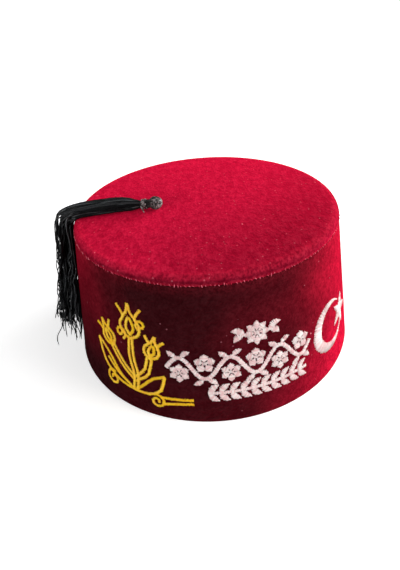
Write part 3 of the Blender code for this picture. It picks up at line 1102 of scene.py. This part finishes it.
def skirt_thread(home, kind):
    """The points of one thread, from inside the head to its tip."""
    across, lift = oval_place(crimp.uniform(0, 2 * math.pi) + slow(0.3, 2.6), math.sqrt(crimp.uniform()))
    flies = np.zeros(len(fall_places))
    if kind == "flyaway":
        size, middle = crimp.uniform(0.8, 2.6) * MM, crimp.uniform(1.7, 2.1)
        flies = size * np.exp(-(((fall_places - middle) / 0.4) ** 2))
        lift = 0.9 + 0 * lift
    else:
        across = across + (home["across"] - across) * gather
        lift = lift + (home["lift"] - lift) * gather
    reach = home["reach"] + crimp.uniform(-0.10, 0.04)
    reach -= crimp.uniform(0, 0.3) if crimp.uniform() < SHORT_SHARE else 0
    lean = (home["lean"] + crimp.normal(0, 0.05) * SKIRT_WIDTH) * reach**6
    kick = (home["kick"] + crimp.normal(0, 0.05) * SKIRT_DEPTH) * reach**6
    if kind == "stray":
        lean = crimp.uniform(-0.80, 0.30) * SKIRT_WIDTH
        kick = crimp.uniform(-1.00, 0.15) * SKIRT_DEPTH
        reach = crimp.uniform(0.90, 1.01)
    crinkle = 0.12 + 0.30 * gather + 0.95 * drops
    aside_wave = (slow(0.7 * MM, 0.7) + slow(0.5 * MM, 0.20)) * crinkle + home["aside"]
    out_wave = (slow(0.7 * MM, 0.6) + slow(0.5 * MM, 0.18)) * crinkle + home["out"]
    points = [head_middle + neck_line * part for part in (HEAD_LENGTH * 0.2, HEAD_LENGTH / 2 + 0.3 * MM)]
    for i, place in enumerate(fall_places):
        foot, out = crown_under(place, reach)
        drift, width, depth = section_at(place)
        high = THREAD_GAP + THREAD_RADIUS + (depth - 2 * THREAD_RADIUS) * lift[i] + flies[i]
        high = max(high + out_wave[i] + kick * drops[i] ** 3, THREAD_GAP + THREAD_RADIUS)
        aside = drift + (width / 2 - THREAD_RADIUS) * across[i] + aside_wave[i] + lean * drops[i] ** 3
        at = foot + out * high
        points.append(hang(at[0], at[1], aside))
    return smooth_path(np.array(points))


def smooth_path(points):
    """The same number of points, with the small corners between them rounded."""
    inner = 0.25 * points[:-2] + 0.5 * points[1:-1] + 0.25 * points[2:]
    return np.concatenate([points[:1], inner, points[-1:]])


locks = [lock(i) for i in range(LOCKS)]
kinds = ["stray"] * STRAYS + ["flyaway"] * FLYAWAYS + ["plain"] * (SKIRT_THREADS - STRAYS - FLYAWAYS)
skirt_paths = [skirt_thread(locks[i % LOCKS], kind) for i, kind in enumerate(kinds)]
# painted glints: a few threads are much lighter grey, and the rest differ at random
shades = crimp.uniform(0, 1, (SKIRT_THREADS, 1)) ** 4 * np.ones(len(skirt_paths[0]))
skirt = wind("tassel_skirt", skirt_paths, THREAD_RADIUS, shades, tassel_thread, 0.5)
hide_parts("tassel")

# %% [markdown]
# ## The tassel's head
# The threads are folded over a small oval core, so the head shows them running lengthwise from the neck
# over its end. The core is a ball, drawn out along the neck's line, and the threads are curves that lie on
# it side by side. Their grey at the far end is a painted highlight, which fades to dark at the neck.

# %% The tassel's head
HEAD_THREADS = 24
HEAD_THREAD_RADIUS = 0.48 * MM
HEAD_STEPS = 16
clear_selection()
bpy.ops.mesh.primitive_uv_sphere_add(segments=24, ring_count=14, radius=1.0)
core = newest("tassel_core")
core.scale = (HEAD_RADIUS * 0.90, HEAD_RADIUS * 0.90, HEAD_LENGTH / 2 * 0.86)
core.rotation_euler = Vector(neck_line).to_track_quat("Z", "Y").to_euler()
core.location = head_middle
settle(core, tassel_thread)
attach(core, "root")
side_one = np.cross(neck_line, (0, 0, 1.0))
side_one /= np.linalg.norm(side_one)
side_two = np.cross(neck_line, side_one)


def round_neck(along, turn, radius):
    """A point at a distance from the neck's line, which starts in the middle of the head."""
    sideways = side_one * math.cos(turn) + side_two * math.sin(turn)
    return head_middle + neck_line * along + sideways * radius


head_paths = []
for i in range(HEAD_THREADS):
    around = 2 * math.pi * (i + crimp.uniform(-0.2, 0.2)) / HEAD_THREADS
    path = []
    for k in range(HEAD_STEPS + 1):
        share = k / HEAD_STEPS
        polar = math.radians(4 + 138 * share)
        a = around + 0.25 * math.sin(polar) * crimp.uniform(0.9, 1.1)
        ring = (HEAD_RADIUS - 0.4 * MM) * math.sin(polar) * crimp.uniform(0.97, 1.04)
        along = -(HEAD_LENGTH / 2 - 0.9 * MM) * math.cos(polar)
        path.append(round_neck(along, a, ring))
    path.append(round_neck(neck_reach, around, NECK_RADIUS * 0.9))
    head_paths.append(np.array(path))
points_each = len(head_paths[0])
# painted highlight: each thread's random shade fades from the far end to dark at the neck
shades = crimp.uniform(0, 1.3, (HEAD_THREADS, points_each)) ** 2 * np.linspace(1, 0, points_each)
head = wind("tassel_head", head_paths, HEAD_THREAD_RADIUS, shades, binding_thread)

# %% [markdown]
# ## The winding
# The same thread is wound round the neck four and a half times, and its loose end sticks out in front.

# %% The winding
WINDING_TURNS, WINDING_STEPS = 4.5, 120
winding_radius = NECK_RADIUS + THREAD_GAP + BINDING_THREAD / 2
winding_start = HEAD_LENGTH / 2 + 0.25 * (NECK_LENGTH - 4 * BINDING_THREAD)
winding_path = []
for k in range(WINDING_STEPS + 1):
    share = k / WINDING_STEPS
    a = 2 * math.pi * WINDING_TURNS * share
    ring = winding_radius * (1 + 0.03 * math.sin(a * 1.7))
    along = winding_start + BINDING_THREAD * 4 * share
    winding_path.append(round_neck(along, a, ring))
LOOSE_END = ((0.6, 0.5), (1.5, 1.3), (2.5, 1.9), (3.3, 2.0), (4.2, 2.3))  # forwards and down, mm
for forwards, down in LOOSE_END:
    winding_path.append(winding_path[WINDING_STEPS] + np.array((0.5 * forwards, -forwards, -down)) * MM)
# painted glints: a few places along the winding are light grey
shades = crimp.uniform(0, 1, len(winding_path)) ** 2
winding = wind("tassel_winding", [np.array(winding_path)], BINDING_THREAD / 2, shades, binding_thread, 0.4)
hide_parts("tassel_binding")

# %% [markdown]
# ## The floor
# The hat stands on a plain pale floor that turns up into a wall all round, as a studio's paper does, so no
# edge or horizon shows from any side. It glows a little less under the hat, which leaves room for a soft
# shadow, and it sends no light back to the hat, so the velvet's dark side stays dark.

# %% The floor
FLOOR_RADIUS = 2.6
COVE_RADIUS = 0.8
WALL_HEIGHT = 3.0
floor_profile = [
    *[(r, 0.0) for r in (0.2, 0.5, 1.0, 1.7, FLOOR_RADIUS)],
    *arc((FLOOR_RADIUS, COVE_RADIUS), COVE_RADIUS, -90, 0, 12)[1:],
    (FLOOR_RADIUS + COVE_RADIUS, WALL_HEIGHT),
]
floor = turn_up("floor", floor_profile)
bpy.ops.mesh.select_all(action="DESELECT")
bpy.ops.object.mode_set(mode="OBJECT")
hole_radius = floor_profile[0][0]
for vertex in floor.data.vertices:
    vertex.select = math.hypot(vertex.co.x, vertex.co.y) < hole_radius + MM
bpy.ops.object.mode_set(mode="EDIT")
bpy.ops.mesh.edge_face_add()
bpy.ops.mesh.normals_make_consistent(inside=True)
bpy.ops.object.mode_set(mode="OBJECT")
pale = Finish("floor_paint")
x, y, z = axes(pale)
far = pale.maths("SQRT", x * x + y * y).between(0.1, 0.9)
pale.set(Base_Color=(0.86, 0.86, 0.86, 1.0), Roughness=0.8, Specular_IOR_Level=0.1)
pale.set(Emission_Color=pale.mix(far, (0.55, 0.55, 0.55), (1.0, 1.0, 1.0)), Emission_Strength=1.0)
settle(floor, pale.material)
floor.visible_diffuse = False
floor.visible_glossy = False
floor.visible_shadow = False

# %% [markdown]
# ## The light
# Large soft lights stand round the hat. The two strongest are low on the right, one before and one behind,
# so the pile on that side glows at its edge, as in the photograph. A weaker one is low on the left, and the
# front between them stays dark. Low lights also leave the flat top less bright than the edges.

# %% The lights
LIGHT_DISTANCE = 1.3
LIGHT_SIZE = 0.8
LIGHTS = (  # name, azimuth and elevation in degrees, power. Azimuth 0 is +X, and 90 is the back
    ("right_back", 30, 14, 21.0),
    ("right_front", 340, 14, 17.0),
    ("left_front", 225, 14, 13.5),
    ("above", 0, 62, 4.5),
    ("left_back", 135, 30, 2.0),
)
for name, azimuth_deg, elevation_deg, power in LIGHTS:
    azimuth, elevation = math.radians(azimuth_deg), math.radians(elevation_deg)
    level = math.cos(elevation)
    direction = Vector((math.cos(azimuth) * level, math.sin(azimuth) * level, math.sin(elevation)))
    light = bpy.data.lights.new(name, "AREA")
    light.size = LIGHT_SIZE
    light.energy = power
    made = bpy.data.objects.new(name, light)
    made.location = Vector((0, 0, 0.05)) + direction * LIGHT_DISTANCE
    made.rotation_euler = direction.to_track_quat("Z", "Y").to_euler()
    bpy.context.scene.collection.objects.link(made)
world = bpy.data.worlds.new("studio")
world.use_nodes = True
background = world.node_tree.nodes["Background"].inputs
background["Color"].default_value = (1, 1, 1, 1)
background["Strength"].default_value = 0.03
bpy.context.scene.world = world
bpy.context.scene.view_settings.view_transform = "Standard"
bpy.context.scene.view_settings.look = "None"
print("lights:", len(LIGHTS))

# %% [markdown]
# ## The camera
# The photograph was taken from a little over thirty degrees above the hat, close by and slightly tilted.
# The camera aims at half the hat's height, and its shift moves the hat to its place in the picture.

# %% The camera
PICTURE_WIDTH, PICTURE_HEIGHT = 400, 570
FOCAL_PIXELS = 466.0
AIM_PIXEL = (209.6, 264.0)
CAMERA_DISTANCE = 313.0 * MM
CAMERA_ELEVATION = 0.5859  # radians
CAMERA_ROLL = 0.0729  # radians
camera_data = bpy.data.cameras.new("camera")
camera_data.sensor_fit = "VERTICAL"
camera_data.sensor_height = 36.0
camera_data.lens = FOCAL_PIXELS / PICTURE_HEIGHT * camera_data.sensor_height
camera_data.shift_x = (PICTURE_WIDTH / 2 - AIM_PIXEL[0]) / PICTURE_HEIGHT
camera_data.shift_y = (AIM_PIXEL[1] - PICTURE_HEIGHT / 2) / PICTURE_HEIGHT
camera_data.clip_start = 0.01
camera = bpy.data.objects.new("camera", camera_data)
bpy.context.scene.collection.objects.link(camera)
back = Vector((0, -math.cos(CAMERA_ELEVATION), math.sin(CAMERA_ELEVATION)))
level_right = Vector((1, 0, 0))
level_up = back.cross(level_right)
right = level_right * math.cos(CAMERA_ROLL) - level_up * math.sin(CAMERA_ROLL)
up = level_right * math.sin(CAMERA_ROLL) + level_up * math.cos(CAMERA_ROLL)
stand = Vector((0, 0, CROWN_HEIGHT / 2)) + back * CAMERA_DISTANCE
camera.matrix_world = Matrix.Translation(stand) @ Matrix((right, up, back)).transposed().to_4x4()
bpy.context.scene.camera = camera
print("camera, mm:", [round(c / MM) for c in stand])
